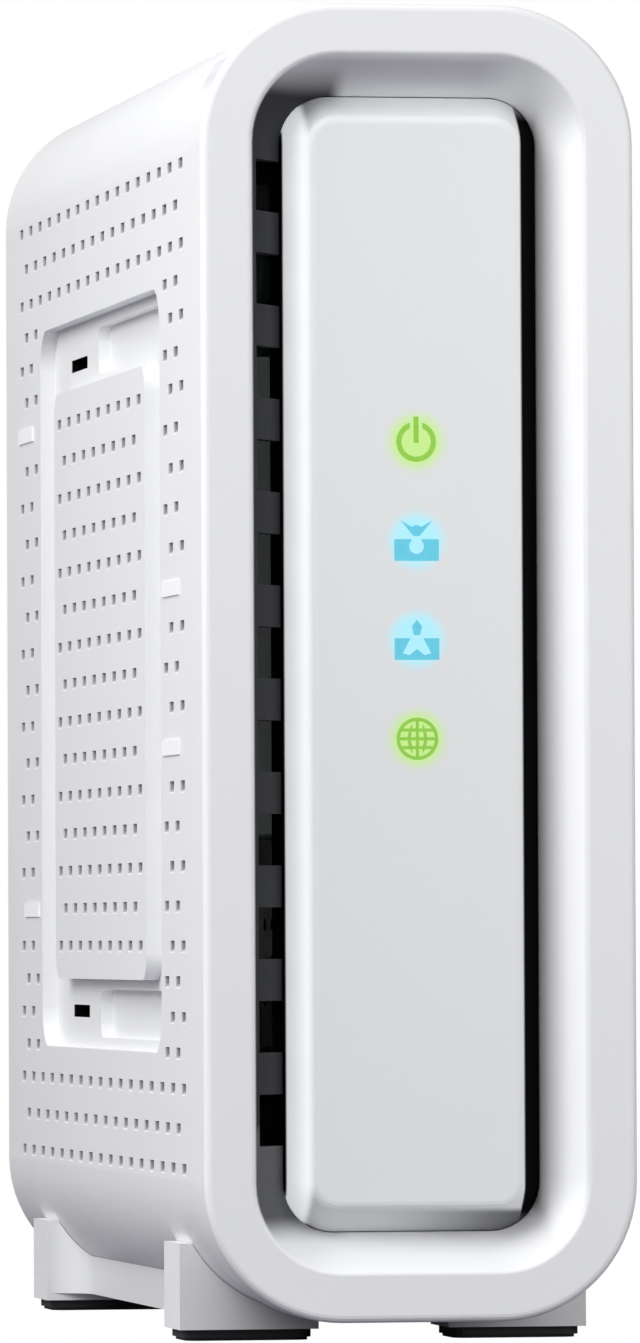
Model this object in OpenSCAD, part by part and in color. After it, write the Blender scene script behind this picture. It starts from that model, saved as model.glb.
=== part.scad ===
// Upright cable modem: a white case of a front bezel, two side shells, a rear panel and a
// footed base, with its main board, heat sink, tuner, connectors and status lights inside.
// X is the width, Y the depth (the front faces -Y) and Z is up. The origin is on the floor,
// under the middle of the whole part. Depths named *_d are measured back from the bezel's face.

/* [Case] */
// Width across the front bezel
case_w = 42.6; // [42:0.1:44]
// Height from the floor to the top of the bezel
case_h = 130; // [129:0.5:134]
// Depth from the bezel's face to the rear rim of the shells
case_d = 133; // [132:0.5:136]
// Outer corner radius of the bezel
corner_r = 13.5; // [13:0.1:14]
// Gap between the floor and the bezel
floor_gap = 2.4; // [2.2:0.1:2.8]
// Wall thickness of the side shells
wall = 1.8; // [1.7:0.1:2]
// How far the bezel stands proud of the shells all round
bezel_proud = 0.6; // [0.4:0.1:0.8]

/* [Front] */
// Depth of the bezel's side band
band_d = 7; // [6.8:0.1:7.4]
// Width of the bezel's flat face
face_w = 4.8; // [4.6:0.1:5]
// Width of the sloping wall of the groove
slope_w = 3.8; // [3.6:0.1:4]
// Depth of the groove
groove_d = 5.6; // [5.4:0.1:5.8]
// How far the front panel's face lies behind the bezel's face
panel_d = 1.6; // [1.4:0.1:1.8]
// Number of air slots in the groove's left wall
air_slots = 11; // [9:1:11]
// Length of one air slot
air_slot_h = 5; // [4:0.1:5.5]
// Distance from one air slot to the next
air_slot_pitch = 9.05; // [8.8:0.05:9.1]
// Distance between the status icons
icon_pitch = 9.6; // [9:0.1:10]
// Height of the lowest icon above the middle of the case
icon_low = -7.4; // [-8:0.1:-6]

/* [Sides] */
// Distance between rows of perforations
row_pitch = 3.92; // [3.85:0.01:3.95]
// Distance between columns of perforations
col_pitch = 6.6; // [6.4:0.05:6.7]
// Width of one perforation along the case
vent_w = 2.6; // [2.2:0.1:2.8]
// Height of one perforation with its scoop
vent_h = 1.2; // [1:0.1:1.6]
// Depth of the recess in the side
recess_deep = 1.6; // [1.4:0.1:1.7]
// Length of the recess along the case
recess_l = 79; // [78:0.5:80]
// Height of the recess
recess_h = 76; // [75:0.5:77]
// Length of the raised island in the recess
island_l = 60; // [59:0.5:61]
// Height of the raised island in the recess
island_h = 61.6; // [61:0.2:62]
// Length of a bracket slot
bracket_slot_l = 11; // [10:0.2:13]
// Height of a bracket slot
bracket_slot_h = 1.3; // [1.2:0.1:1.8]

/* [Base] */
// Thickness of rubber that shows under a foot
pad_h = 1.1; // [1:0.1:1.4]
// Depth of a foot, front to back
foot_d = 9.5; // [9:0.1:10]
// Height of the top of a foot's outer side
foot_top = 9.6; // [9:0.1:10]
// Distance of the front feet behind the bezel's face
front_foot_d = 21; // [20.5:0.5:22]
// Distance of the rear feet behind the bezel's face
rear_foot_d = 108; // [107:0.5:109]

/* [Board] */
// Thickness of the main board
board_t = 1.6; // [1.6:0.1:1.8]
// Height of the connectors' middle line above the board
port_rise = 6.75; // [6.7:0.01:6.8]
// Number of heat sink fins
fins = 10; // [8:1:11]
// Height of the heat sink fins
fin_h = 14.5; // [12:0.5:15]

/* [Rear connectors] */
// Radius of the coaxial connector's threaded barrel
coax_r = 4.76; // [4.7:0.01:4.8]
// How far the coaxial connector stands out past the rear rim
coax_reach = 7; // [6:0.5:8]
// Travel of the reset button
reset_travel = 0.3; // [0.2:0.05:0.35]

/* [Hidden] */
$fn = 48;
eps = 0.01;
far = 200;

// Case outline: every outline shares the same corner centres, at (cx, cz) from the case's middle
y_front = -(case_d + coax_reach) / 2;
mid_z = (case_h + floor_gap) / 2;
cx = case_w / 2 - corner_r;
cz = (case_h - floor_gap) / 2 - corner_r;
shell_s = corner_r - bezel_proud;      // outer face of the shells, out from the corner centres
inner_s = shell_s - wall;              // inner face of the shells
shell_x = cx + shell_s;                // half width across the shells
inner_x = cx + inner_s;
fit_gap = 0.1;                         // gap between a part that slides into the shells and them

// Front
lip_s = corner_r - face_w;             // inner edge of the bezel's flat face
groove_s = lip_s - slope_w;            // bottom of the groove
edge_r = 0.7;                          // rounding of the bezel's outer edge
lip_r = 0.5;                           // rounding of the bezel's inner edge
face_t = 1.8;                          // thickness of the bezel's front wall
slope_t = 1.4;                         // thickness of the groove's sloping wall
tongue_s = inner_s - fit_gap;          // outer face of what slides into the shells
tongue_t = 1.2;
tongue_end_d = 10;
panel_s = 2.65;                        // edge of the front panel's flat face
panel_t = 1.6;
flange_s = 8.2;                        // edge of the front panel's rear flange
flange_d = band_d + 0.1;
flange_t = 1.2;
ear_s = 8.6;                           // screw centre line of the panel's ears
ear_z = [-49, 49];
ear_r = 2.2;
ear_boss_d = 3;                        // front end of the bosses that the ears are screwed to
ear_boss_r = 1.7;
ear_screw_r = 0.78;
ear_screw_l = 4.6;
icon_z = [for (i = [0:3]) icon_low + i * icon_pitch];   // online, send, receive, power
icon_t = 0.6;                          // thickness of an icon inlay
icon_skin = 0.4;                       // panel left between an inlay and the light guide's end
icon_r = 2.9;                          // radius of the pocket behind an icon
guide_gap = 0.1;
guide_x = 1.9;                         // half width and height of a bar of the light guide
guide_bar = 3.6;
baffle_d = 4.2;                        // where the bars bend towards the lamps
led_d = 14.4;

// Sides
vent_mid_d = 68.7;                     // middle of the perforations, the recess and the island
rows = 27;
rows_mid = (rows + 1) / 2;
block_rows = 7;                        // rows each side of the middle that keep the row pitch
edge_row = 12.57;                      // height of the outermost row, in row pitches
vent_slot = 0.8;                       // height of the slot through the wall
recess_r = 4;
island_r = 2.5;
pocket_l = 47;                         // deeper pockets above and below the island
pocket_h = 5;
pocket_r = 1.5;
pocket_deep = 1.2;
pocket_mid_d = vent_mid_d - 14;
bracket_slot_d = vent_mid_d + 22.5;
bracket_slot_z = [-34.2, 33.7];        // heights above the middle of the case
window_rows_front = [12, 16];
window_rows_rear = [7, 20];
latch_l = 10;
latch_h = 1.5;
latch_gap = 0.02;
latch_proud = 0.2;                     // how far a latch stands proud of the shell
latch_plate_h = 6;
front_latch_d = vent_mid_d - 7 * col_pitch;
rear_latch_d = [vent_mid_d + 7.5 * col_pitch, vent_mid_d + 7 * col_pitch];
lip_t = 0.85;                          // lip that joins the two shells along the top and bottom
lip_w = 1.4;

// Base
base_z = pad_h + 0.75;                 // underside of the base between the feet
foot_x0 = 6.5;
foot_x1 = shell_x - 0.35;
rail_x = 16;
foot_mid_d = [front_foot_d + foot_d / 2, rear_foot_d + foot_d / 2];
base_screw_x = 12.5;
screw_r = 1.4;
pilot_r = screw_r - 0.1;               // hole that a screw cuts its thread in
clear_r = screw_r + 0.15;              // hole that a screw passes through
screw_shank_r = screw_r - 0.12;

// Board
board_x = port_rise;                   // component face of the board
board_d = [14, 127.5];
board_z = [16, 116];
board_holes = [[20, 22], [20, 110], [111, 108], [84, 20]];   // depth, height
post_r = 3;
chip_t = 1.75;
pad_t = 0.7;
sink_t = 3;
sink_d = [42, 88];
sink_z = [50, 98];
fin_t = 1.2;
sink_x = board_x - chip_t - pad_t;     // face of the heat sink's base against the pad
spring_l = 6;
pin_at = [[45.5, 53.5], [84.5, 94.5]]; // depth, height of the heat sink's pins
chip_mid = [65, 74];
tuner_mid = [97, 39];
tuner_can = [23, 22, 4];               // length, height and rise of the tuner's shield
tuner_can_t = 0.4;

// Rear
panel_in_d = case_d - 4;               // inner face of the rear panel
panel_out_d = case_d - 2;
power_z = 22;
coax_z = 40;
port_z = [62, 82];
reset_z = 96.5;
rear_vent_h = 1.4;
rear_vent_pitch = 3.4;
washer_t = 0.6;
nut_t = 2.2;
nut_out_d = panel_out_d + washer_t + nut_t;
coax_block_d = [113, 127];             // the coaxial connector's square body
coax_shoulder_r = 5.4;
coax_bore_r = 3.4;
coax_core_d = coax_block_d[0] + 4;     // front end of its insulator and its contact
coax_contact_r = 0.8;
coax_root_r = coax_r - 0.3;            // the barrel under its washer and nut
port_w = 16;                           // size of an Ethernet port's shield
port_h = 13.4;
port_l = 21;
shield_t = 0.3;
jack_x = -0.3;
jack_r = 3.15;
jack_block = [12.2, 14.5, 10];
rear_screw_at = [[-13.5, 26], [13.5, 110]];
reset_r = 1.5;
reset_gap = 0.05;
reset_head_r = 2.2;
reset_head_t = 0.6;
reset_cover_d = 124;                   // what stops the button's head
reset_room = reset_head_t + reset_travel + 0.4;

white = "#f4f4f5";
metal = "#c9ccd0";
board_green = "#1f5a3c";
black = "#1c1c1e";
gold = "#d8b45a";

// ---- placing ----

// Puts children, drawn flat, upright at a depth; their +Z then points out of the front
module upright(d) {
    translate([0, y_front + d, mid_z]) rotate([90, 0, 0]) children();
}

// Puts children, drawn with Z towards the rear, at a place in the case
module along_depth(x, d, z) {
    translate([x, y_front + d, z]) rotate([-90, 0, 0]) children();
}

// Puts children, drawn with Z away from the board's component face, on that face
module on_board(d, z, lift = 0) {
    translate([board_x - lift, y_front + d, z]) rotate([0, -90, 0]) children();
}

module both_sides() {
    children();
    mirror([1, 0, 0]) children();
}

// A box from depth to depth
module block(x0, x1, d0, d1, z0, z1) {
    translate([x0, y_front + d0, z0]) cube([x1 - x0, d1 - d0, z1 - z0]);
}

// ---- shapes ----

module rounded(w, h, r) {
    square([w - 2 * r, h], center = true);
    square([w, h - 2 * r], center = true);
    for (x = [-1, 1], y = [-1, 1])
        translate([x * (w / 2 - r), y * (h / 2 - r)]) circle(r);
}

// The case outline at a distance s from the corner centres
module outline(s) {
    rounded(2 * (cx + s), 2 * (cz + s), s);
}

module slab(s, d0, d1) {
    upright(d1) linear_extrude(d1 - d0) outline(s);
}

// Sweeps a profile of [s, height] round the case outline
module around(profile) {
    for (q = [[1, 1, 0], [-1, 1, 90], [-1, -1, 180], [1, -1, 270]])
        translate([q[0] * cx, q[1] * cz, 0]) rotate([0, 0, q[2]])
            rotate_extrude(angle = 90) polygon(profile);
    both_sides() translate([cx, cz, 0]) rotate([90, 0, 0]) linear_extrude(2 * cz) polygon(profile);
    for (flip = [0, 1]) mirror([0, flip, 0])
        translate([-cx, cz, 0]) rotate([90, 0, 90]) linear_extrude(2 * cx) polygon(profile);
}

// A quarter round from angle a0 to a1, as points
function round_points(c, r, a0, a1, n = 4) =
    [for (i = [0:n]) let (a = a0 + (a1 - a0) * i / n) [c[0] + r * cos(a), c[1] + r * sin(a)]];

function to_right(slope, distance) = distance * [slope[1], -slope[0]] / norm(slope);

module screw(length, head_r, head_h, shank_r) {
    difference() {
        union() {
            cylinder(r = head_r, h = head_h);
            translate([0, 0, head_h]) cylinder(r = shank_r, h = length);
        }
        for (a = [0, 90]) rotate([0, 0, a])
            translate([-head_r * 0.6, -head_r * 0.11, -eps])
                cube([head_r * 1.2, head_r * 0.22, head_h * 0.6]);
    }
}

module chip(l, h, t) {
    translate([-h / 2, -l / 2, 0]) cube([h, l, t]);
}

// ---- front ----

groove_line = [-slope_w, -groove_d];
back_of_slope = to_right(-groove_line, slope_t);

bezel_profile = concat(
    [[corner_r, -band_d]],
    round_points([corner_r - edge_r, -edge_r], edge_r, 0, 90),
    round_points([lip_s + lip_r * 0.55, -lip_r], lip_r, 90, 145),
    [[groove_s, -groove_d],
     [groove_s, -band_d],
     [groove_s + back_of_slope[0], -band_d],
     [groove_s + back_of_slope[0], -groove_d + back_of_slope[1]],
     [groove_s + back_of_slope[0] + (groove_d - face_t - back_of_slope[1]) * slope_w / groove_d,
      -face_t],
     [corner_r - wall, -face_t],
     [corner_r - wall, -band_d + wall],
     [tongue_s - tongue_t, -band_d + wall],
     [tongue_s - tongue_t, -tongue_end_d],
     [tongue_s, -tongue_end_d],
     [tongue_s, -band_d]]);

function air_slot_z(i) = (i - (air_slots - 1) / 2) * air_slot_pitch + 1;

// Plates with a nub that fills a window in each shell
module latches(d0, d1, nub_d, rows) {
    x1 = inner_x - fit_gap;
    both_sides() for (i = [0:len(rows) - 1]) {
        z = mid_z + row_z(rows[i]);
        block(x1 - tongue_t, x1, d0, d1, z - latch_plate_h / 2, z + latch_plate_h / 2);
        block(x1 - eps, shell_x + latch_proud, nub_d[i] - latch_l / 2, nub_d[i] + latch_l / 2,
              z - latch_h / 2, z + latch_h / 2);
    }
}

module front_bezel() {
    color(white) {
        difference() {
            union() {
                upright(0) around(bezel_profile);
                for (x = [-1, 1], z = ear_z)
                    along_depth(x * (cx + ear_s), ear_boss_d, mid_z + z)
                        cylinder(r = ear_boss_r, h = band_d - ear_boss_d);
            }
            for (i = [0:air_slots - 1])
                block(-cx - lip_s + 0.2 * slope_w, -cx - groove_s + eps, -1, band_d + eps,
                      mid_z + air_slot_z(i) - air_slot_h / 2, mid_z + air_slot_z(i) + air_slot_h / 2);
            for (x = [-1, 1], z = ear_z)
                along_depth(x * (cx + ear_s), ear_boss_d + 0.4, mid_z + z)
                    cylinder(r = ear_screw_r + 0.02, h = 6);
            // notches in the tongue for the panel's ears
            both_sides() for (z = ear_z)
                block(cx + ear_s, cx + inner_s, band_d, tongue_end_d + 1, mid_z + z - ear_r - 0.3,
                      mid_z + z + ear_r + 0.3);
        }
        latches(tongue_end_d - 2, front_latch_d + latch_l / 2 + 0.3,
                [front_latch_d, front_latch_d], window_rows_front);
    }
}

panel_profile = concat(
    [[0, -panel_d]],
    round_points([panel_s - 0.75, -panel_d - 1.1], 1.1, 90, 22),
    [[groove_s - fit_gap, -groove_d],
     [groove_s - fit_gap, -flange_d],
     [flange_s, -flange_d],
     [flange_s, -flange_d - flange_t],
     [groove_s - panel_t, -flange_d - flange_t],
     [groove_s - panel_t, -groove_d],
     [panel_s - 1.4, -panel_d - panel_t],
     [0, -panel_d - panel_t]]);

module front_panel() {
    color(white) difference() {
        union() {
            upright(0) around(panel_profile);
            upright(panel_d + panel_t) linear_extrude(panel_t) square([2 * cx, 2 * cz], center = true);
            for (x = [-1, 1], z = ear_z)
                along_depth(x * (cx + ear_s), flange_d, mid_z + z)
                    linear_extrude(flange_t) {
                        circle(ear_r);
                        translate([x > 0 ? -ear_r - 1 : 0, -ear_r]) square([ear_r + 1, 2 * ear_r]);
                    }
        }
        // the flange stays narrow behind the air slots
        block(-cx - ear_s, -cx - groove_s - 0.5, flange_d - eps, flange_d + flange_t + eps,
              mid_z + ear_z[0] + ear_r, mid_z + ear_z[1] - ear_r);
        for (x = [-1, 1], z = ear_z)
            along_depth(x * (cx + ear_s), flange_d - eps, mid_z + z)
                cylinder(r = ear_screw_r + 0.3, h = 3);
        // a shallow recess for each icon's inlay, and a pocket behind it for the light
        for (z = icon_z) {
            upright(panel_d + icon_t) translate([0, z]) linear_extrude(icon_t + 1) icon_at(z);
            upright(panel_d + panel_t + 3) translate([0, z])
                cylinder(r = icon_r, h = panel_t + 3 - icon_t - icon_skin);
        }
    }
}

// The outline of the icon at a height: a globe, an arrow out of a tray, one into it, and power
module icon_at(z) {
    if (z == icon_z[0]) globe_icon();
    if (z == icon_z[1]) send_icon();
    if (z == icon_z[2]) receive_icon();
    if (z == icon_z[3]) power_icon();
}

module icon_ring(r_out, r_in) {
    difference() {
        circle(r_out);
        circle(r_in);
    }
}

module globe_icon() {
    stroke = 0.3;
    icon_ring(2.05, 1.72);
    square([stroke, 3.7], center = true);
    for (y = [-0.85, 0, 0.85]) translate([0, y])
        square([y == 0 ? 3.7 : 3.2, stroke], center = true);
    for (x = [-1, 1]) intersection() {
        translate([-x * 1.55, 0]) icon_ring(2.5, 2.2);
        translate([x * 1 - 0.5, -1.8]) square([1, 3.6]);
    }
}

module power_icon() {
    difference() {
        icon_ring(1.95, 1.45);
        translate([-0.62, 0.6]) square([1.24, 2]);
    }
    translate([-0.25, -0.1]) square([0.5, 2.55]);
}

module tray() {
    translate([-2.2, -1.95]) square([4.4, 2.1]);
}

module receive_icon() {
    difference() {
        tray();
        translate([0, -0.55]) circle(0.72);
        translate([-0.5, -0.5]) square([1, 0.8]);
    }
    polygon([[-1.6, 2], [-0.5, 1.35], [0, 1.55], [0.5, 1.35], [1.6, 2], [0.3, 0.45], [-0.3, 0.45]]);
}

module send_icon() {
    difference() {
        tray();
        polygon([[-0.55, 0.3], [-1.4, -1.3], [-0.75, -1.5], [0, -0.9], [0.75, -1.5], [1.4, -1.3],
                 [0.55, 0.3]]);
    }
    polygon([[-0.3, 0.45], [-0.5, 1.3], [0, 1.95], [0.5, 1.3], [0.3, 0.45]]);
}

// An icon's translucent inlay, flush with the panel's face
module icon_inlay(z, shade) {
    color(shade) upright(panel_d + icon_t) translate([0, z]) linear_extrude(icon_t) icon_at(z);
}

module icon_online() { icon_inlay(icon_z[0], "#9ccc4a"); }
module icon_send() { icon_inlay(icon_z[1], "#74cfe2"); }
module icon_receive() { icon_inlay(icon_z[2], "#74cfe2"); }
module icon_power() { icon_inlay(icon_z[3], "#9ccc4a"); }

// ---- side shells ----

// Height of a row above the case's middle. Rows are counted from the top, 1 to 27; the
// three blocks of rows keep the row pitch, and the rows between them are evenly spread.
function row_z(r) =
    let (up = rows_mid - r, n = abs(up), outer = rows_mid - 3,
         gap_pitch = (edge_row - 2 - block_rows) / (outer - block_rows))
    sign(up) * row_pitch * (n <= block_rows ? n
        : n >= outer ? edge_row - (rows_mid - 1 - n)
        : block_rows + (n - block_rows) * gap_pitch);

// Odd rows have 17 columns and even rows 16, half a pitch out of step
function row_cols(r) = r % 2 == 1 ? 17 : 16;
function col_d(r, c) = vent_mid_d + (c - (row_cols(r) - 1) / 2) * col_pitch;
function has(list, v) = len([for (x = list) if (x == v) x]) > 0;

function vent_here(r, c) =
    let (n = row_cols(r), front = c < 2, rear = c >= n - 2, mid = c >= 4 && c < n - 4)
    (r <= 3 || r > rows - 3) ? true
    : front ? !has(window_rows_front, r)
    : rear ? !has(window_rows_rear, r)
    : mid && r >= 7 && r <= 21;

// One perforation in the left wall: a slot through it, and a scoop that runs out below it
module vent(d, z) {
    top = z + vent_h / 2;
    translate([0, y_front + d + vent_w / 2, 0]) rotate([90, 0, 0]) linear_extrude(vent_w)
        polygon([[-shell_x - 1, top], [-inner_x + 0.4, top], [-inner_x + 0.4, top - vent_slot],
                 [-shell_x + 0.3, top - vent_slot], [-shell_x, top - vent_h],
                 [-shell_x - 1, top - vent_h]]);
}

// A rounded plate seen from the side, from x0 to x1
module side_plate(l, h, r, x0, x1, mid_d = vent_mid_d, z = mid_z) {
    translate([x0, y_front + mid_d, z]) rotate([90, 0, 90]) linear_extrude(x1 - x0) rounded(l, h, r);
}

// The room of a bracket slot from x0 to x1, wider all round by grow
module bracket_slot(z, x0, x1, grow) {
    l = bracket_slot_l / 2 + grow;
    h = bracket_slot_h / 2 + grow;
    block(x0, x1, bracket_slot_d - l, bracket_slot_d + l, mid_z + z - h, mid_z + z + h);
}

// The shell's left half, before it is cut open
module shell_body() {
    backing_x = shell_x - recess_deep - wall;
    band_z = (recess_h + island_h) / 4;
    difference() {
        union() {
            difference() {
                slab(shell_s, band_d, case_d);
                slab(inner_s, band_d - 1, case_d + 1);
            }
            // backing behind the recess
            difference() {
                side_plate(recess_l + 2, recess_h + 3, recess_r + 1, -shell_x + wall / 2, -backing_x);
                side_plate(island_l - 3, island_h - 3, island_r, -far, far);
            }
            for (s = [-1, 1])
                block(-shell_x + wall, -backing_x + pocket_deep, pocket_mid_d - pocket_l / 2 - 2,
                      pocket_mid_d + pocket_l / 2 + 1.5, mid_z + s * band_z - pocket_h / 2 - 2,
                      mid_z + s * band_z + pocket_h / 2 + 2);
            // closed boxes behind the bracket slots
            for (z = bracket_slot_z) bracket_slot(z, -backing_x - 0.5, -backing_x + 3.2, 0.8);
        }
        // the framed recess
        difference() {
            side_plate(recess_l, recess_h, recess_r, -shell_x - 1, -shell_x + recess_deep);
            side_plate(island_l, island_h, island_r, -far, far);
        }
        // deeper pockets above and below the island, towards the front, and bracket slots behind
        for (s = [-1, 1])
            side_plate(pocket_l, pocket_h, pocket_r, -shell_x - 1,
                       -shell_x + recess_deep + pocket_deep, pocket_mid_d, mid_z + s * band_z);
        for (z = bracket_slot_z) bracket_slot(z, -shell_x - 1, -backing_x + 2.4, 0);
    }
}

module perforations() {
    for (r = [1:rows], c = [0:row_cols(r) - 1])
        if (vent_here(r, c)) vent(col_d(r, c), mid_z + row_z(r));
}

module latch_windows() {
    h = latch_h + 2 * latch_gap;
    l = latch_l + 2 * latch_gap;
    for (r = window_rows_front)
        block(-far, -inner_x + 1, front_latch_d - l / 2, front_latch_d + l / 2,
              mid_z + row_z(r) - h / 2, mid_z + row_z(r) + h / 2);
    for (i = [0, 1])
        block(-far, -inner_x + 1, rear_latch_d[i] - l / 2, rear_latch_d[i] + l / 2,
              mid_z + row_z(window_rows_rear[i]) - h / 2, mid_z + row_z(window_rows_rear[i]) + h / 2);
}

// Screw bosses that rise from the bottom of a shell, over the feet
module base_bosses(side) {
    for (d = foot_mid_d) translate([side * base_screw_x, y_front + d, 0]) difference() {
        translate([0, 0, mid_z - cz - inner_s]) cylinder(r = 3, h = 10.5);
        translate([0, 0, -1]) cylinder(r = pilot_r, h = 14.5);
    }
}

module base_clearance(side) {
    for (d = foot_mid_d) translate([side * base_screw_x, y_front + d, -1])
        cylinder(r = clear_r, h = mid_z - cz - inner_s + 3.7);
}

module rear_boss(at) {
    x_out = sign(at[0]) * (inner_x + 0.5);
    x0 = min(at[0], x_out);
    difference() {
        union() {
            along_depth(at[0], panel_in_d - 12, at[1]) cylinder(r = 2.6, h = 12);
            block(x0, max(at[0], x_out), panel_in_d - 12, panel_in_d, at[1] - 0.8, at[1] + 0.8);
        }
        along_depth(at[0], panel_in_d - 9, at[1]) cylinder(r = pilot_r, h = 10);
    }
}

// The lip along the left shell's edges, or with grow the groove for it in the right shell
module seam_lip(grow) {
    intersection() {
        difference() {
            slab(inner_s + lip_t + grow, band_d + 3.5 - grow, case_d - 4.5 + grow);
            slab(inner_s - grow, band_d, case_d);
        }
        block(-1, lip_w + grow, 0, far, 0, far);
    }
}

module left_shell() {
    color(white) difference() {
        union() {
            difference() {
                shell_body();
                block(0, far, -1, far, -1, far);
            }
            seam_lip(0);
            intersection() {
                base_bosses(-1);
                slab(shell_s - 0.5, 0, case_d);
            }
            rear_boss(rear_screw_at[0]);
        }
        perforations();
        latch_windows();
        base_clearance(-1);
    }
}

module right_shell() {
    color(white) difference() {
        union() {
            difference() {
                mirror([1, 0, 0]) shell_body();
                block(-far, 0, -1, far, -1, far);
                seam_lip(fit_gap);
            }
            intersection() {
                base_bosses(1);
                slab(shell_s - 0.5, 0, case_d);
            }
            rear_boss(rear_screw_at[1]);
            board_posts();
        }
        mirror([1, 0, 0]) perforations();
        mirror([1, 0, 0]) latch_windows();
        base_clearance(1);
        for (h = board_holes)
            translate([board_x, y_front + h[0], h[1]]) rotate([0, 90, 0])
                cylinder(r = pilot_r, h = board_t + 6.5);
    }
}

// Posts on the right shell that hold the board off the side wall
module board_posts() {
    for (h = board_holes)
        translate([board_x + board_t, y_front + h[0], h[1]]) rotate([0, 90, 0])
            cylinder(r = post_r, h = inner_x - board_x - board_t + 0.5);
}

// ---- rear panel ----

module rear_panel() {
    vent_top = mid_z + cz + 3;
    color(white) {
        difference() {
            slab(tongue_s, panel_in_d, panel_out_d);
            for (z = port_z)
                block(-port_h / 2 - 0.2, port_h / 2 + 0.2, 0, far, z - port_w / 2 - 0.2,
                      z + port_w / 2 + 0.2);
            along_depth(0, panel_in_d - 1, coax_z) cylinder(r = coax_r + 0.2, h = 4);
            along_depth(jack_x, panel_in_d - 1, power_z) cylinder(r = 5.3, h = 4);
            along_depth(0, panel_in_d - 1, reset_z) cylinder(r = 1.2, h = 4);
            for (at = rear_screw_at)
                along_depth(at[0], panel_in_d - 1, at[1]) cylinder(r = screw_r + 0.2, h = 4);
            for (x = [-14:4:-2], z = [102:rear_vent_pitch:vent_top - 1])
                block(x, x + 2.6, panel_in_d - 1, panel_out_d + 1, z, z + rear_vent_h);
            for (x = [-16, 12], z = [40:rear_vent_pitch:90])
                block(x, x + 4, panel_in_d - 1, panel_out_d + 1, z, z + rear_vent_h);
        }
        latches(rear_latch_d[1] - latch_l / 2 - 0.6, panel_in_d, rear_latch_d, window_rows_rear);
    }
}

// ---- base ----

module foot(d0) {
    block(foot_x0, foot_x1, d0, d0 + foot_d, pad_h, foot_top);
}

// The seat of a pad under a foot
module pad_outline(d0, inset) {
    l = foot_x1 - foot_x0 - 2 * inset;
    w = foot_d - 2 * inset;
    translate([(foot_x0 + foot_x1) / 2, y_front + d0 + foot_d / 2, 0])
        linear_extrude(far) rounded(l, w, 1.4);
}

// A fillet between the inner side of a foot's face and the rail
module rail_fillet(d, towards) {
    r = 4;
    difference() {
        block(rail_x - eps, rail_x + r, min(d, d + towards * r), max(d, d + towards * r), base_z, 9);
        translate([rail_x + r, y_front + d + towards * r, -1]) cylinder(r = r, h = 12);
    }
}

module base_stand() {
    color(white) difference() {
        union() {
            block(-rail_x, rail_x, front_foot_d + 1, rear_foot_d + foot_d - 1, base_z, 7.5);
            both_sides() {
                foot(front_foot_d);
                foot(rear_foot_d);
                rail_fillet(front_foot_d + foot_d, 1);
                rail_fillet(rear_foot_d, -1);
            }
        }
        slab(shell_s + 0.05, 0, far);
        both_sides() for (d0 = [front_foot_d, rear_foot_d]) {
            translate([0, 0, pad_h + 0.5 - far]) pad_outline(d0, 0.4);
            translate([base_screw_x, y_front + d0 + foot_d / 2, 0]) {
                cylinder(r = 2.8, h = pad_h + 2);
                cylinder(r = clear_r, h = 12);
            }
        }
        // hollow underside between the rails
        block(-rail_x + 2, rail_x - 2, front_foot_d + foot_d + 3, rear_foot_d - 3, 0, base_z + 0.4);
    }
}

module foot_pad(d0) {
    color(black) {
        intersection() {
            translate([0, 0, 0.3]) pad_outline(d0, 0.5);
            block(-far, far, 0, far, 0.3, pad_h + 0.5);
        }
        intersection() {
            pad_outline(d0, 0.8);
            block(-far, far, 0, far, 0, 0.3);
        }
    }
}

module foot_pad_front_left() { mirror([1, 0, 0]) foot_pad(front_foot_d); }
module foot_pad_front_right() { foot_pad(front_foot_d); }
module foot_pad_rear_left() { mirror([1, 0, 0]) foot_pad(rear_foot_d); }
module foot_pad_rear_right() { foot_pad(rear_foot_d); }

module base_screws() {
    color(metal) both_sides() for (d = foot_mid_d)
        translate([base_screw_x, y_front + d, pad_h + 0.6]) screw(8.5, 2.6, 1.4, screw_shank_r);
}

module panel_screws() {
    color(metal) for (x = [-1, 1], z = ear_z)
        along_depth(x * (cx + ear_s), flange_d + flange_t + 1.1, mid_z + z)
            rotate([180, 0, 0]) screw(ear_screw_l, 1.7, 1.1, ear_screw_r);
}

module rear_screws() {
    color(metal) for (at = rear_screw_at)
        along_depth(at[0], panel_out_d + 1.3, at[1]) rotate([180, 0, 0])
            screw(9, 2.6, 1.3, screw_shank_r);
}

// ---- board and what stands on it ----

module main_board() {
    color(board_green) difference() {
        block(board_x, board_x + board_t, board_d[0], board_d[1], board_z[0], board_z[1]);
        for (h = concat(board_holes, pin_at))
            translate([board_x - 1, y_front + h[0], h[1]]) rotate([0, 90, 0])
                cylinder(r = 1.6, h = board_t + 2);
    }
}

module board_screws() {
    color(metal) for (h = board_holes)
        translate([board_x - 1.2, y_front + h[0], h[1]]) rotate([0, 90, 0])
            screw(7.5, 2.5, 1.2, screw_shank_r);
}

module modem_processor() {
    color(black) on_board(chip_mid[0], chip_mid[1]) {
        chip(25, 25, 0.9);
        translate([0, 0, 0.9]) chip(19, 19, chip_t - 0.9);
    }
}

module thermal_pad() {
    color("#9aa6b4") on_board(chip_mid[0], chip_mid[1], chip_t) chip(22, 22, pad_t);
}

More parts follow.
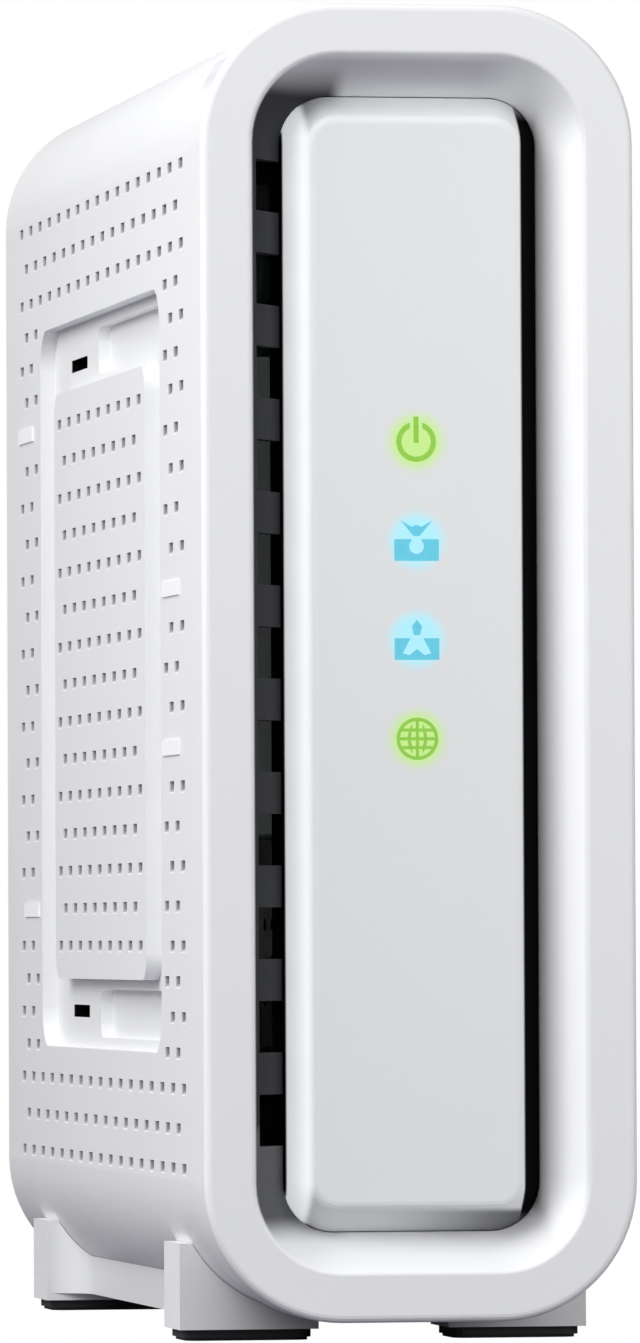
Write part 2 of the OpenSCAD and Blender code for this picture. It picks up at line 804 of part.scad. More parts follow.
module heat_sink() {
    pitch = (sink_d[1] - sink_d[0] - fin_t) / (fins - 1);
    color("#b9bcc0") difference() {
        union() {
            block(sink_x - sink_t, sink_x, sink_d[0], sink_d[1], sink_z[0], sink_z[1]);
            for (i = [0:fins - 1])
                block(sink_x - sink_t - fin_h, sink_x - sink_t + eps, sink_d[0] + i * pitch,
                      sink_d[0] + i * pitch + fin_t, sink_z[0], sink_z[1]);
        }
        for (p = pin_at) {
            translate([-far, y_front + p[0], p[1]]) rotate([0, 90, 0])
                cylinder(r = 1.7, h = 2 * far);
            translate([sink_x - sink_t - far, y_front + p[0], p[1]]) rotate([0, 90, 0])
                cylinder(r = 3.4, h = far);
        }
    }
}

module heat_sink_pins() {
    base_x = sink_x - sink_t;
    color(white) for (p = pin_at) translate([base_x - spring_l - 1.5, y_front + p[0], p[1]])
        rotate([0, 90, 0]) {
            cylinder(r = 2.9, h = 1.5);
            cylinder(r = 1.4, h = board_x + board_t - base_x + spring_l + 1.8);
            translate([0, 0, board_x + board_t - base_x + spring_l + 1.75])
                cylinder(r1 = 2.1, r2 = 0.9, h = 2.2);
        }
}

// A spring drawn as closed rings joined by posts, squeezed between the pin's head and the base
module heat_sink_springs() {
    base_x = sink_x - sink_t;
    coils = 6;
    wire = 0.5;
    color(metal) for (p = pin_at) translate([base_x - spring_l, y_front + p[0], p[1]]) rotate([0, 90, 0]) {
        for (i = [0:coils - 1]) translate([0, 0, i * (spring_l - wire) / (coils - 1)]) difference() {
            cylinder(r = 2.5, h = wire);
            translate([0, 0, -1]) cylinder(r = 1.9, h = wire + 2);
        }
        for (i = [0:coils - 2]) rotate([0, 0, i * 180])
            translate([1.95, -wire / 2, i * (spring_l - wire) / (coils - 1)])
                cube([wire, wire, spring_l / (coils - 1)]);
    }
}

module memory_chip_a() { color(black) on_board(31, 62) chip(8, 13, 1); }
module memory_chip_b() { color(black) on_board(31, 79) chip(8, 13, 1); }
module flash_chip() { color(black) on_board(31, 45) chip(6, 8, 1.2); }
module regulator_chip() { color(black) on_board(70, 34) chip(6, 5, 1); }

module power_inductors() {
    color("#6b6e73") for (d = [46, 57, 68]) on_board(d, 23) {
        chip(7, 7, 1);
        translate([0, 0, 1]) cylinder(r = 3.2, h = 2.4);
        translate([0, 0, 3.4]) chip(7, 7, 0.8);
    }
}

module electrolytic_capacitors() {
    color("#3d4552") for (d = [92, 101, 110]) on_board(d, 21) {
        chip(6.6, 6.6, 1);
        translate([0, 0, 1]) cylinder(r = 3.15, h = 6.4);
        translate([0, 0, 7.4]) cylinder(r1 = 3.15, r2 = 2.8, h = 0.4);
    }
}

module ceramic_capacitors() {
    color("#b58a5c") {
        for (i = [0:5]) on_board(50 + i * 6, 42) chip(2, 1.25, 1);
        for (i = [0:5]) on_board(24 + i * 4, 34) chip(2, 1.25, 1);
        for (i = [0:3]) on_board(46 + i * 12, 104) chip(2, 1.25, 1);
    }
}

module crystal() { color(metal) on_board(80, 34) chip(3.2, 5, 1.2); }
module tuner_chip() { color(black) on_board(tuner_mid[0], tuner_mid[1]) chip(8, 8, 0.9); }

module tuner_shield_frame() {
    color(metal) on_board(tuner_mid[0], tuner_mid[1]) difference() {
        chip(tuner_can[0], tuner_can[1], tuner_can[2]);
        translate([0, 0, -1])
            chip(tuner_can[0] - 2 * tuner_can_t, tuner_can[1] - 2 * tuner_can_t, tuner_can[2] + 2);
    }
}

module tuner_shield_lid() {
    color(metal) on_board(tuner_mid[0], tuner_mid[1], tuner_can[2]) difference() {
        chip(tuner_can[0], tuner_can[1], 0.3);
        for (y = [-6:4:6], x = [-6:4:6]) translate([x, y, -1]) cylinder(r = 0.7, h = 2);
    }
}

module ethernet_transformers() {
    color(black) for (z = port_z) on_board(100, z) chip(9, 15, 5.5);
}

module status_leds() {
    color("#f3f1e4") for (i = [0:3]) on_board(15.5, mid_z + icon_z[i]) chip(2, 3, 2);
}

// Clear bars that carry the light from the board's edge to the icons, joined by one runner
module light_guide() {
    icon_back = panel_d + icon_t + icon_skin + guide_gap;
    color("#e8eef2") {
        for (z = icon_z) translate([0, y_front, mid_z + z - guide_bar / 2]) linear_extrude(guide_bar)
            polygon([[-guide_x, icon_back], [guide_x, icon_back], [guide_x, baffle_d], [6.4, led_d],
                     [4.4, led_d], [-guide_x, baffle_d]]);
        block(3.2, 4.6, 11.6, 12.6, mid_z + icon_z[0], mid_z + icon_z[3]);
    }
}

module light_baffle() {
    gap = 0.3;
    x = guide_x + gap;
    color(black) difference() {
        block(-6, 8, baffle_d - 0.6, 9, mid_z + icon_z[0] - 5, mid_z + icon_z[3] + 5);
        for (z = icon_z) translate([0, y_front, mid_z + z - guide_bar / 2 - gap])
            linear_extrude(guide_bar + 2 * gap)
                polygon([[-x, panel_d], [x, panel_d], [x, baffle_d - gap], [6.4 + 2 * gap, led_d],
                         [4.4 - 2 * gap, led_d], [-x, baffle_d + gap]]);
    }
}

// ---- rear connectors ----

module coax_body() {
    color(metal) difference() {
        union() {
            block(-coax_shoulder_r, board_x, coax_block_d[0], coax_block_d[1], coax_z - 6, coax_z + 6);
            along_depth(0, coax_block_d[1] - eps, coax_z)
                cylinder(r = coax_shoulder_r, h = panel_in_d - coax_block_d[1] + eps);
            along_depth(0, panel_in_d - 1, coax_z)
                cylinder(r = coax_root_r, h = nut_out_d - panel_in_d + 1 + eps);
            along_depth(0, nut_out_d, coax_z)
                cylinder(r = coax_r, h = case_d + coax_reach - nut_out_d);
        }
        along_depth(0, coax_core_d, coax_z) cylinder(r = coax_bore_r, h = far);
    }
}

module coax_insulator() {
    color("#efeee6") difference() {
        along_depth(0, coax_core_d, coax_z)
            cylinder(r = coax_bore_r, h = case_d + coax_reach - coax_core_d - 0.6);
        along_depth(0, coax_core_d - 1, coax_z) cylinder(r = coax_contact_r, h = far);
    }
}

module coax_contact() {
    color(gold) along_depth(0, coax_core_d, coax_z) difference() {
        cylinder(r = coax_contact_r, h = case_d + coax_reach - coax_core_d - 1);
        translate([0, 0, 12]) cylinder(r = 0.45, h = far);
    }
}

module coax_washer() {
    color(metal) along_depth(0, panel_out_d, coax_z) difference() {
        cylinder(r = 6.8, h = washer_t);
        translate([0, 0, -1]) cylinder(r = coax_root_r, h = 3);
    }
}

module coax_nut() {
    color(metal) along_depth(0, panel_out_d + washer_t, coax_z) difference() {
        cylinder(r = 6.4, h = nut_t, $fn = 6);
        translate([0, 0, -1]) cylinder(r = coax_root_r, h = 5);
    }
}

// The mouth of an Ethernet port: the plug's channel and the notch for its latch
module port_mouth(z, d0) {
    block(-3.7, 3.3, d0, far, z - 5.9, z + 5.9);
    block(-5.3, -3.7 + eps, d0, far, z - 3.1, z + 3.1);
}

port_d0 = panel_out_d + 0.5 - port_l;

module port_housing(z) {
    h = port_h / 2 - shield_t;
    w = port_w / 2 - shield_t;
    color(black) difference() {
        block(-h, h, port_d0 + shield_t, panel_out_d + 0.5 - shield_t, z - w, z + w);
        port_mouth(z, panel_out_d - 12.5);
    }
}

module port_shield(z) {
    h = port_h / 2;
    w = port_w / 2;
    color(metal) difference() {
        block(-h, h, port_d0, panel_out_d + 0.5, z - w, z + w);
        block(-h + shield_t, h - shield_t, port_d0 + shield_t, panel_out_d + 0.5 - shield_t,
              z - w + shield_t, z + w - shield_t);
        port_mouth(z, panel_out_d - 1);
        // spring leaves pressed out of the two sides
        for (s = [-1, 1]) for (x = [-3, 1])
            block(x, x + 2, port_d0 + 9, port_d0 + 17, z + s * w - 0.5, z + s * w + 0.5);
    }
}

// Eight wires that slope out of the floor of the mouth
module port_contacts(z) {
    wires = 8;
    pitch = 1.02;
    wire = 0.35;
    color(gold) for (i = [0:wires - 1])
        translate([0, y_front, z + (i - (wires - 1) / 2) * pitch - wire / 2]) linear_extrude(wire)
            polygon([[3.3, panel_out_d - 2.5], [3.3, panel_out_d - 3.1],
                     [1.8, panel_out_d - 11.5], [1.3, panel_out_d - 11.3]]);
}

module ethernet_a_housing() { port_housing(port_z[0]); }
module ethernet_a_shield() { port_shield(port_z[0]); }
module ethernet_a_contacts() { port_contacts(port_z[0]); }
module ethernet_b_housing() { port_housing(port_z[1]); }
module ethernet_b_shield() { port_shield(port_z[1]); }
module ethernet_b_contacts() { port_contacts(port_z[1]); }

module power_jack_housing() {
    d1 = panel_out_d + 0.5;
    color(black) difference() {
        union() {
            block(board_x - jack_block[0], board_x, d1 - jack_block[1], panel_in_d - 0.3,
                  power_z - jack_block[2] / 2, power_z + jack_block[2] / 2);
            along_depth(jack_x, panel_in_d - 1, power_z) cylinder(r = 5, h = d1 - panel_in_d + 1);
        }
        along_depth(jack_x, d1 - 10, power_z) cylinder(r = jack_r, h = far);
    }
}

module power_jack_pin() {
    color(metal) along_depth(jack_x, panel_out_d - 9.5, power_z) {
        cylinder(r = 1, h = 9);
        cylinder(r = 2.2, h = 0.6);
    }
}

module power_jack_spring() {
    color(gold) translate([jack_x, 0, 0])
        block(-jack_r + 0.35, -jack_r + 0.65, panel_out_d - 9, panel_out_d - 3, power_z - 0.9,
              power_z + 0.9);
}

module reset_switch_body() {
    room_d = reset_cover_d - reset_room;
    color(black) difference() {
        block(-3, board_x, 121, reset_cover_d + 1.4, reset_z - 3.2, reset_z + 3.2);
        along_depth(0, room_d, reset_z) cylinder(r = reset_head_r + 0.1, h = reset_room);
        along_depth(0, room_d, reset_z) cylinder(r = reset_r + reset_gap, h = 5);
    }
}

module reset_button() {
    head_d = reset_cover_d - reset_head_t - 0.05;
    color("#d9d9db") {
        along_depth(0, head_d, reset_z) cylinder(r = reset_head_r, h = reset_head_t);
        along_depth(0, head_d + reset_head_t - eps, reset_z) cylinder(r = reset_r, h = 3.6);
    }
}

front_bezel();
front_panel();
icon_power();
icon_receive();
icon_send();
icon_online();
left_shell();
right_shell();
rear_panel();
base_stand();
foot_pad_front_left();
foot_pad_front_right();
foot_pad_rear_left();
foot_pad_rear_right();
base_screws();
panel_screws();
rear_screws();
main_board();
board_screws();
modem_processor();
thermal_pad();
heat_sink();
heat_sink_pins();
heat_sink_springs();
memory_chip_a();
memory_chip_b();
flash_chip();
regulator_chip();
power_inductors();
electrolytic_capacitors();
ceramic_capacitors();
crystal();
tuner_chip();
tuner_shield_frame();
tuner_shield_lid();
ethernet_transformers();
status_leds();
light_guide();
light_baffle();
coax_body();
coax_insulator();
coax_contact();
coax_washer();
coax_nut();
ethernet_a_housing();
ethernet_a_shield();
ethernet_a_contacts();
ethernet_b_housing();
ethernet_b_shield();
ethernet_b_contacts();
power_jack_housing();
power_jack_pin();
power_jack_spring();
reset_switch_body();
reset_button();
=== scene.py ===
"""Looks of the upright cable modem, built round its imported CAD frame. Metres, +Z up, front towards -Y."""
import math

import bpy
from mathutils import Matrix, Vector

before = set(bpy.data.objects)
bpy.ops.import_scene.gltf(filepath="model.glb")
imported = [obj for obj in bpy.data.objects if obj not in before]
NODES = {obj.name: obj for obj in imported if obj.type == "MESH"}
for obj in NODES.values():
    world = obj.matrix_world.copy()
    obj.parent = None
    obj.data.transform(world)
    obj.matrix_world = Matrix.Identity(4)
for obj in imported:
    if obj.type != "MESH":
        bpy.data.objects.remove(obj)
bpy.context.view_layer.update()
MM = 0.001

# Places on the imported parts, in the frame's own axes
FRONT_Y = -70.0 * MM           # face of the bezel
FOOT_Z = 2.4 * MM              # foot of the bezel
TOP_Z = 130.0 * MM             # top of the bezel
MIDDLE_Z = (FOOT_Z + TOP_Z) / 2
SHELL_X = 20.7 * MM            # half width over the shells
LIP_X = 16.5 * MM              # half width at the outer edge of the groove
GROOVE_X = 12.7 * MM           # half width at the bottom of the groove
PANEL_X = 10.45 * MM           # half width of the panel's flat face
SIDE_Y = FRONT_Y + 68.7 * MM   # middle of the perforations and the recess
RECESS = (39.5 * MM, 38.0 * MM)     # half length and half height of the recess
ISLAND = (30.0 * MM, 30.8 * MM)     # half length and half height of the island in it
RECESS_FLOOR_X = SHELL_X - 1.6 * MM
SLOT_Y = SIDE_Y + 22.5 * MM    # middle of the slots in the recess
SLOT_UP = 33.95 * MM           # how far the slots are above and below MIDDLE_Z
ICON_LOW_Z = 58.8 * MM         # middle of the lowest icon
ICON_PITCH = 9.6 * MM
COAX_Z = 40.0 * MM             # axis of the coaxial port
THREAD_Y = 64.0 * MM           # where the port's thread starts, past the nut
THREAD_PITCH = 0.794 * MM

# Colours, and the shades of the places where little light gets
WHITE = (0.83, 0.835, 0.845)
WHITE_SHADE = (0.80, 0.805, 0.82)
CASE_ROUGH = 0.42
PANEL = (0.80, 0.815, 0.82)
PANEL_SHADE = (0.78, 0.795, 0.80)
SHADE = (0.045, 0.046, 0.05)
TOP_SHADE = (0.60, 0.60, 0.63)
BASE_SHADE = (0.34, 0.34, 0.37)
VENT_SHADE = (0.42, 0.42, 0.43)
BEVEL_SHADE = (0.004, 0.004, 0.004)
GREEN = ((0.25, 0.55, 0.06), (0.28, 0.62, 0.05))
CYAN = ((0.12, 0.55, 0.70), (0.12, 0.60, 0.76))
GREEN_GLOW = (0.52, 0.82, 0.20)
CYAN_GLOW = (0.38, 0.84, 0.95)
ICON_GLOWS = (GREEN_GLOW, CYAN_GLOW, CYAN_GLOW, GREEN_GLOW)    # from the lowest icon upwards

# Slight emission, where the photographed object is brighter than the lights make this one
LATCH_EMISSION = 0.14
LIP_EMISSION = 0.2
PANEL_EMISSION = 0.42
ICON_EMISSION = 0.25

# Light from all round: how it grows towards a direction, its level, and its least
SURROUND_SLOPE = (-0.45, -0.27, 0.08)
SURROUND_LEVEL = 0.50
SURROUND_LEAST = 0.02
FLOOR_COLOUR = (0.12, 0.12, 0.15, 1)     # for all light but the camera's, which sees white
FLOOR_HALF = 3.0

# The camera: place, then how it is turned, then its lens and sensor
CAMERA_PLACE = (-186.1 * MM, -1057.5 * MM, 39.8 * MM)
CAMERA_YAW, CAMERA_PITCH, CAMERA_ROLL = (math.radians(a) for a in (10.12, 1.455, -0.246))
CAMERA_LENS = 278.6
CAMERA_SENSOR = 36


# ---------------------------------------------------------------- camera

def make_camera():
    """A long lens, in front and to the left, a little below the middle and tilted up."""
    flat = math.cos(CAMERA_PITCH)
    ahead = Vector((math.sin(CAMERA_YAW) * flat, math.cos(CAMERA_YAW) * flat, math.sin(CAMERA_PITCH)))
    level = Vector((math.cos(CAMERA_YAW), -math.sin(CAMERA_YAW), 0))
    upright = level.cross(ahead)
    right = level * math.cos(CAMERA_ROLL) + upright * math.sin(CAMERA_ROLL)
    above = upright * math.cos(CAMERA_ROLL) - level * math.sin(CAMERA_ROLL)
    data = bpy.data.cameras.new("camera")
    data.sensor_width = CAMERA_SENSOR
    data.lens = CAMERA_LENS
    data.clip_end = 20
    camera = bpy.data.objects.new("camera", data)
    turn = Matrix((right, above, -ahead)).transposed().to_4x4()
    camera.matrix_world = Matrix.Translation(CAMERA_PLACE) @ turn
    bpy.context.scene.collection.objects.link(camera)
    bpy.context.scene.camera = camera


# ---------------------------------------------------------------- materials

def new_material(name):
    """A material with only a Principled shader, and that shader and its node tree."""
    material = bpy.data.materials.new(name)
    material.use_nodes = True
    tree = material.node_tree
    tree.nodes.clear()
    shader = tree.nodes.new("ShaderNodeBsdfPrincipled")
    output = tree.nodes.new("ShaderNodeOutputMaterial")
    tree.links.new(shader.outputs["BSDF"], output.inputs["Surface"])
    return material, tree, shader


def node(tree, kind, inputs=(), **settings):
    """A node with its settings and inputs, where an input is a value or another node's socket."""
    made = tree.nodes.new(kind)
    for key, value in settings.items():
        setattr(made, key, value)
    for key, value in dict(inputs).items():
        if isinstance(value, bpy.types.NodeSocket):
            tree.links.new(value, made.inputs[key])
        else:
            made.inputs[key].default_value = value
    return made


def object_point(tree):
    return node(tree, "ShaderNodeTexCoord").outputs["Object"]


def noise(tree, scale, detail=3.0, roughness=0.5):
    return node(tree, "ShaderNodeTexNoise",
                {"Vector": object_point(tree), "Scale": scale, "Detail": detail,
                 "Roughness": roughness}).outputs["Fac"]


def between(tree, value, low, high):
    """value, from 0 to 1, spread from low to high."""
    return node(tree, "ShaderNodeMapRange",
                {"Value": value, "To Min": low, "To Max": high}).outputs["Result"]


def mixed(tree, factor, a, b):
    """A colour from a to b."""
    mix = tree.nodes.new("ShaderNodeMix")
    mix.data_type = "RGBA"
    for socket, value in ((mix.inputs[0], factor), (mix.inputs[6], a), (mix.inputs[7], b)):
        if isinstance(value, bpy.types.NodeSocket):
            tree.links.new(value, socket)
        elif isinstance(value, tuple):
            socket.default_value = (*value, 1)
        else:
            socket.default_value = value
    return mix.outputs[2]


def bumped(tree, shader, height, strength, distance):
    bump = node(tree, "ShaderNodeBump",
                {"Height": height, "Strength": strength, "Distance": distance})
    tree.links.new(bump.outputs["Normal"], shader.inputs["Normal"])


def finish_plastic(tree, shader, colour, rough, grain=5200.0, depth=0.02):
    """Gives a shader a moulded plastic's colour, uneven gloss and fine spark-eroded grain."""
    tree.links.new(colour, shader.inputs["Base Color"])
    gloss = noise(tree, 160.0, 2.0)
    tree.links.new(between(tree, gloss, rough - 0.04, rough + 0.05), shader.inputs["Roughness"])
    bumped(tree, shader, noise(tree, grain, 2.0), 0.25, depth * MM)


def plastic(name, light, dark, rough, grain=5200.0, depth=0.02):
    """Moulded plastic with slight flow shading."""
    material, tree, shader = new_material(name)
    finish_plastic(tree, shader, mixed(tree, noise(tree, 28.0), light, dark), rough, grain, depth)
    return material


def metal(name, light, dark, rough, grain=900.0, stretch=(1.0, 1.0, 1.0)):
    """Plated or drawn metal, with faint streaks and uneven polish."""
    material, tree, shader = new_material(name)
    shader.inputs["Metallic"].default_value = 1.0
    spread = node(tree, "ShaderNodeMapping", {"Vector": object_point(tree), "Scale": stretch})
    streaks = node(tree, "ShaderNodeTexNoise",
                   {"Vector": spread.outputs["Vector"], "Scale": grain, "Detail": 4.0}).outputs["Fac"]
    tree.links.new(mixed(tree, streaks, light, dark), shader.inputs["Base Color"])
    tree.links.new(between(tree, streaks, rough - 0.08, rough + 0.1), shader.inputs["Roughness"])
    bumped(tree, shader, streaks, 0.12, 0.01 * MM)
    return material


def axes(tree):
    """The X, Y and Z of the object's own point, in metres."""
    return node(tree, "ShaderNodeSeparateXYZ", {"Vector": object_point(tree)}).outputs


def ramp(tree, value, start, end):
    """0 where value is start and before, 1 where it is end and beyond, smooth between."""
    return node(tree, "ShaderNodeMapRange", {"Value": value, "From Min": start, "From Max": end},
                interpolation_type="SMOOTHSTEP").outputs["Result"]


def down(distance):
    """The height of a place so many millimetres below the bezel's top."""
    return TOP_Z - distance * MM


def up(distance):
    """The height of a place so many millimetres above the bezel's foot."""
    return FOOT_Z + distance * MM


def back(distance):
    """The Y of a place so many millimetres behind the bezel's face."""
    return FRONT_Y + distance * MM


def product(tree, *factors):
    result = factors[0]
    for factor in factors[1:]:
        result = node(tree, "ShaderNodeMath", {0: result, 1: factor}, operation="MULTIPLY").outputs[0]
    return result


def apart(tree, value, middle):
    """How far a value is from a middle one, either way."""
    off = node(tree, "ShaderNodeMath", {0: value, 1: middle}, operation="SUBTRACT").outputs[0]
    return node(tree, "ShaderNodeMath", {0: off}, operation="ABSOLUTE").outputs[0]


def either(tree, a, b):
    return node(tree, "ShaderNodeMath", {0: a, 1: b}, operation="MAXIMUM").outputs[0]


def dull(tree, shader, shade):
    """Takes the gloss away where shade is 1."""
    tree.links.new(between(tree, shade, 0.5, 0.0), shader.inputs["Specular IOR Level"])


def case_colour(tree):
    return mixed(tree, noise(tree, 28.0), WHITE, WHITE_SHADE)


def latch_tips(tree):
    """1 on the ends of the latches that fill the windows of the shells, behind the bezel's band: the mask
    of their painted highlight.
    """
    x, y, _ = axes(tree)
    outermost = ramp(tree, apart(tree, x, 0.0), SHELL_X - 0.4 * MM, SHELL_X - 0.1 * MM)
    return product(tree, outermost, ramp(tree, y, back(8), back(10)))


def case_white():
    """The case's white, with a painted highlight, a slight glow, on the ends of the latches."""
    material, tree, shader = new_material("case_white")
    white = case_colour(tree)
    finish_plastic(tree, shader, white, CASE_ROUGH)
    tree.links.new(white, shader.inputs["Emission Color"])
    # Painted highlight: slight emission on the ends of the latches.
    tree.links.new(product(tree, latch_tips(tree), LATCH_EMISSION), shader.inputs["Emission Strength"])
    return material


def shell_white():
    """The case's white. The walls of the perforations and of the recess's slots carry painted shade."""
    material, tree, shader = new_material("shell_white")
    x, y, z = axes(tree)
    out, along, rise = apart(tree, x, 0.0), apart(tree, y, SIDE_Y), apart(tree, z, MIDDLE_Z)
    in_wall = product(tree, ramp(tree, out, SHELL_X - 0.04 * MM, SHELL_X - 0.2 * MM),
                      ramp(tree, out, SHELL_X - 2.7 * MM, SHELL_X - 2.2 * MM),
                      ramp(tree, rise, 50.3 * MM, 50.1 * MM), ramp(tree, along, 56 * MM, 55 * MM))
    frame_area = either(tree, ramp(tree, along, RECESS[0] + 0.2 * MM, RECESS[0] + 0.4 * MM),
                        ramp(tree, rise, RECESS[1] + 0.2 * MM, RECESS[1] + 0.4 * MM))
    island = product(tree, ramp(tree, along, ISLAND[0] - 1.6 * MM, ISLAND[0] - 1.9 * MM),
                     ramp(tree, rise, ISLAND[1] - 2.0 * MM, ISLAND[1] - 2.3 * MM))
    # Painted shade: the walls of the perforations get VENT_SHADE, the slots in the recess a near black.
    vents = product(tree, in_wall, either(tree, frame_area, island))
    slots = product(tree, ramp(tree, out, RECESS_FLOOR_X - 0.02 * MM, RECESS_FLOOR_X - 0.12 * MM),
                    ramp(tree, apart(tree, rise, SLOT_UP), 1.55 * MM, 1.25 * MM),
                    ramp(tree, apart(tree, y, SLOT_Y), 7.5 * MM, 7.0 * MM))
    white = case_colour(tree)
    shaded = mixed(tree, vents, white, VENT_SHADE)
    finish_plastic(tree, shader, mixed(tree, slots, shaded, BEVEL_SHADE), CASE_ROUGH)
    dull(tree, shader, either(tree, vents, slots))
    return material


def bezel_white():
    """The case's white, with painted shade where shade gathers in the groove: deep on the left, round the
    slots, grey above, and a soft edge at the foot of the right wall. Beyond that edge the right wall has a
    painted highlight, a slight glow, and so have the ends of the latches."""
    material, tree, shader = new_material("bezel_white")
    x, y, z = axes(tree)
    sunk = ramp(tree, y, back(0.1), back(0.6))
    ends = product(tree, ramp(tree, z, down(5.5), down(9)), ramp(tree, z, up(7.4), up(10.4)))
    lighter = between(tree, ramp(tree, z, up(18.2), up(19.4)), 0.93, 1.0)
    # Painted shade masks: the groove's left slope, its top, and the foot of its right wall.
    left = product(tree, ramp(tree, x, -LIP_X - 0.05 * MM, -LIP_X + 0.25 * MM),
                   ramp(tree, x, -6 * MM, -8 * MM), sunk, ends, lighter)
    top = product(tree, ramp(tree, z, down(4.9), down(5.7)), ramp(tree, z, down(9), down(6.6)), sunk,
                  ramp(tree, x, 11 * MM, 6 * MM))
    right = product(tree, ramp(tree, x, GROOVE_X + 0.2 * MM, GROOVE_X - 0.5 * MM),
                    ramp(tree, x, 9 * MM, 10.5 * MM), sunk, ramp(tree, z, down(9.5), down(14)),
                    ramp(tree, z, up(9.6), up(12.6)))
    # Painted highlight: a slight glow on the right wall, beyond its shaded foot.
    bright = product(tree, ramp(tree, x, GROOVE_X - 0.1 * MM, GROOVE_X + 0.9 * MM),
                     ramp(tree, x, LIP_X + 0.1 * MM, LIP_X - 0.3 * MM), sunk,
                     ramp(tree, z, down(9), down(14)), ramp(tree, z, up(6.6), up(11.6)))
    white = case_colour(tree)
    shaded = mixed(tree, top, white, TOP_SHADE)
    shaded = mixed(tree, right, shaded, SHADE)
    finish_plastic(tree, shader, mixed(tree, left, shaded, SHADE), CASE_ROUGH)
    tree.links.new(white, shader.inputs["Emission Color"])
    # Painted highlights, as slight emission: the groove's right wall and the ends of the latches.
    lit = either(tree, product(tree, bright, LIP_EMISSION), product(tree, latch_tips(tree), LATCH_EMISSION))
    tree.links.new(lit, shader.inputs["Emission Strength"])
    dull(tree, shader, either(tree, either(tree, left, right), top))
    return material


def base_white():
    """The case's white, with painted shade towards the middle of the base, where it lies in the shade of
    the case.
    """
    material, tree, shader = new_material("base_white")
    x = axes(tree)["X"]
    # Painted shade: darker towards the middle of the base.
    inner = product(tree, ramp(tree, apart(tree, x, 0.0), 19.5 * MM, 9 * MM), 0.75)
    white = case_colour(tree)
    finish_plastic(tree, shader, mixed(tree, inner, white, BASE_SHADE), CASE_ROUGH)
    return material


def panel_white():
    """The panel's white, lit round its icons from behind. Its left bevel has a painted highlight, a slight
    glow. Painted shade makes its right bevel black, and the side that faces the air slots too, and darkens
    its bottom bevel towards the right."""
    material, tree, shader = new_material("panel_white")
    x, _, z = axes(tree)
    # Painted shade: black on the right bevel and on the side that faces the air slots, darker towards the
    # right on the bottom bevel.
    ends = product(tree, ramp(tree, z, down(7), down(11)), ramp(tree, z, up(6.6), up(10.6)))
    right = product(tree, ramp(tree, x, PANEL_X - 0.15 * MM, PANEL_X + 0.15 * MM), ends)
    side = ramp(tree, x, -GROOVE_X + 0.35 * MM, -GROOVE_X + 0.2 * MM)
    below = product(tree, ramp(tree, z, up(11.1), up(10.4)), ramp(tree, x, -5 * MM, 12 * MM), 0.85)
    dark = either(tree, either(tree, right, side), below)
    # Painted highlight: a slight glow on the left bevel.
    bright = product(tree, ramp(tree, x, -PANEL_X + 0.35 * MM, -PANEL_X - 0.45 * MM),
                     ramp(tree, x, -GROOVE_X + 0.2 * MM, -GROOVE_X + 0.4 * MM), ends, 1.4)
    white = mixed(tree, noise(tree, 28.0), PANEL, PANEL_SHADE)
    colour = mixed(tree, dark, white, BEVEL_SHADE)
    flat = node(tree, "ShaderNodeCombineXYZ", {"X": x, "Z": z}).outputs[0]
    glows = bright
    for i, tint in enumerate(ICON_GLOWS):
        away = node(tree, "ShaderNodeVectorMath", {0: flat, 1: (0, 0, ICON_LOW_Z + i * ICON_PITCH)},
                    operation="DISTANCE").outputs["Value"]
        glow = ramp(tree, away, 3.5 * MM, 1.7 * MM)
        colour = mixed(tree, product(tree, glow, 0.9), colour, tint)
        glows = either(tree, glows, product(tree, glow, 0.35))
    finish_plastic(tree, shader, colour, 0.36)
    dull(tree, shader, dark)
    tree.links.new(colour, shader.inputs["Emission Color"])
    tree.links.new(product(tree, glows, PANEL_EMISSION), shader.inputs["Emission Strength"])
    return material


def lit_lens(name, colour, glow, strength):
    """A translucent inlay lit from behind, with the mottle of the light guide under it."""
    material, tree, shader = new_material(name)
    mottle = noise(tree, 2200.0, 2.0)
    tree.links.new(mixed(tree, mottle, colour, tuple(0.85 * c for c in colour)),
                   shader.inputs["Base Color"])
    tree.links.new(mixed(tree, mottle, glow, tuple(0.8 * c for c in glow)),
                   shader.inputs["Emission Color"])
    shader.inputs["Emission Strength"].default_value = strength
    shader.inputs["Roughness"].default_value = 0.4
    bumped(tree, shader, mottle, 0.1, 0.01 * MM)
    return material


def board_laminate():
    """Green solder mask over copper tracks, which show as a lighter, slightly raised net."""
    material, tree, shader = new_material("board_laminate")
    cells = node(tree, "ShaderNodeTexVoronoi", {"Vector": object_point(tree), "Scale": 420.0},
                 distance="MANHATTAN")
    tracks = ramp(tree, cells.outputs["Distance"], 0.32, 0.40)
    laminate = mixed(tree, noise(tree, 60.0), (0.012, 0.10, 0.045), (0.016, 0.13, 0.06))
    tree.links.new(mixed(tree, tracks, laminate, (0.03, 0.22, 0.10)), shader.inputs["Base Color"])
    tree.links.new(between(tree, noise(tree, 300.0), 0.28, 0.42), shader.inputs["Roughness"])
    bumped(tree, shader, tracks, 0.3, 0.03 * MM)
    return material


def clear_guide():
    material, tree, shader = new_material("guide_clear")
    tree.links.new(mixed(tree, noise(tree, 90.0), (0.86, 0.92, 0.95), (0.80, 0.88, 0.92)),
                   shader.inputs["Base Color"])
    shader.inputs["Transmission Weight"].default_value = 0.7
    tree.links.new(between(tree, noise(tree, 240.0), 0.05, 0.14), shader.inputs["Roughness"])
    return material


